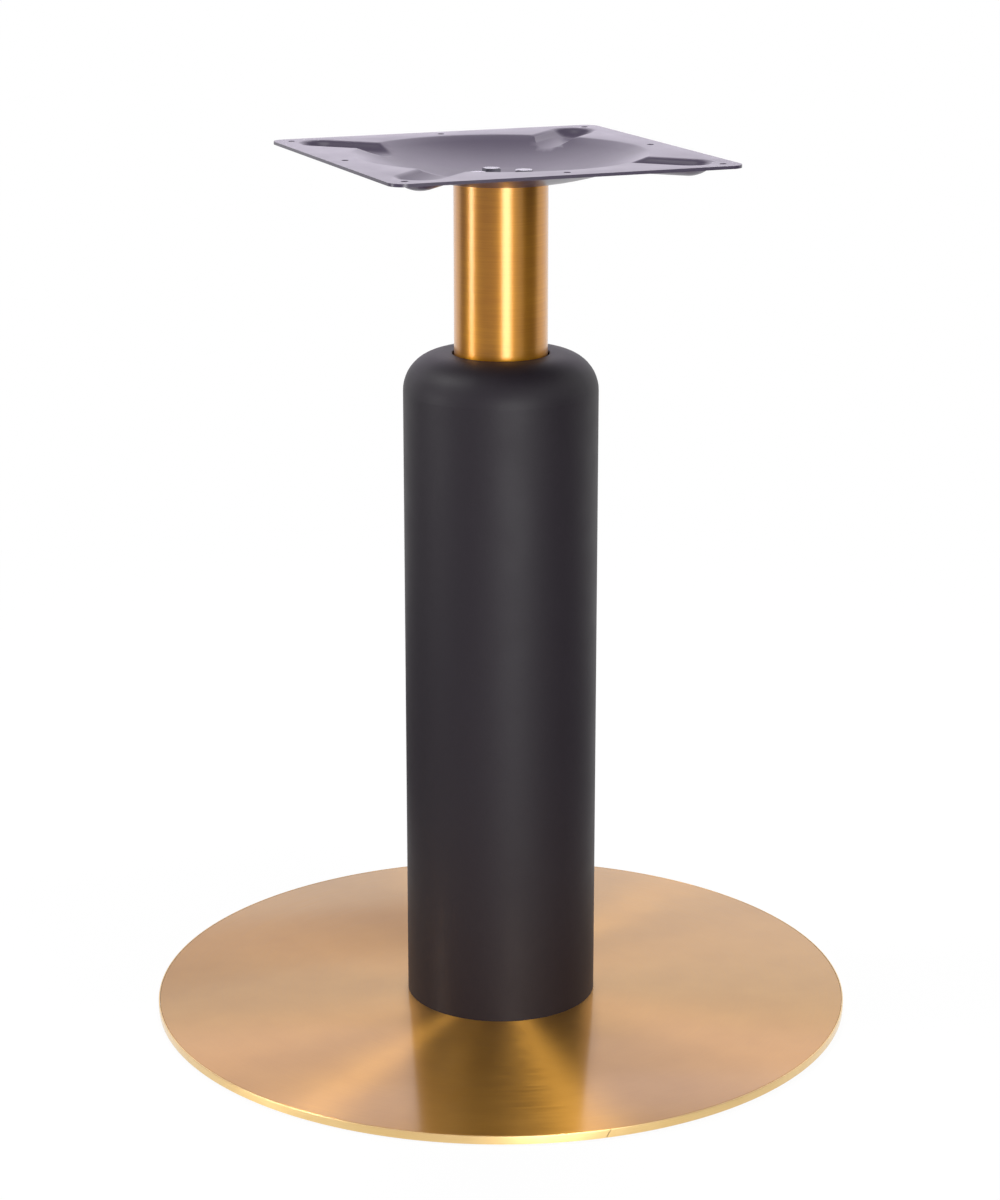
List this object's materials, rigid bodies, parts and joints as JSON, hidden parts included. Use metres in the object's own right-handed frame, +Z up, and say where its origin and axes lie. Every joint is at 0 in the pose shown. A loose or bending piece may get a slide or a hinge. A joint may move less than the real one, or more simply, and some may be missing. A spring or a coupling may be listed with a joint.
{
  "type": "table base",
  "caption": "Pedestal table base: weighted round floor disc with a brass face, brass column in a black shouldered sleeve, and a pressed square plate to screw under a table top.",
  "frame": {"origin": "centre of the base on the floor, on the column's axis", "axes": "+Z up along the column; X and Y along the sides of the top plate"},
  "size_m": [0.585, 0.585, 0.72],
  "materials": {
    "painted_steel": "black paint",
    "brushed_brass": "brushed in circles",
    "tube_brass": "brushed round the tube",
    "trim_brass": "polished",
    "black_coat": "satin black powder coat",
    "grey_coat": "matt grey powder coat",
    "zinc_steel": "bright zinc plate",
    "bare_steel": "mill finish",
    "pad_rubber": "matt"
  },
  "bodies": {
    "root": {"base_plate": "painted_steel", "base_sheet": "brushed_brass", "edge_trim": "trim_brass", "base_screws": "zinc_steel", "column_foot": "bare_steel", "column_tube": "tube_brass", "column_head": "bare_steel", "sleeve": "black_coat", "top_plate": "grey_coat", "plate_bolts": "zinc_steel", "floor_pad_1": "pad_rubber", "floor_pad_2": "pad_rubber", "floor_pad_3": "pad_rubber", "floor_pad_4": "pad_rubber", "floor_pad_5": "pad_rubber", "floor_pad_6": "pad_rubber"}
  },
  "joints": []
}
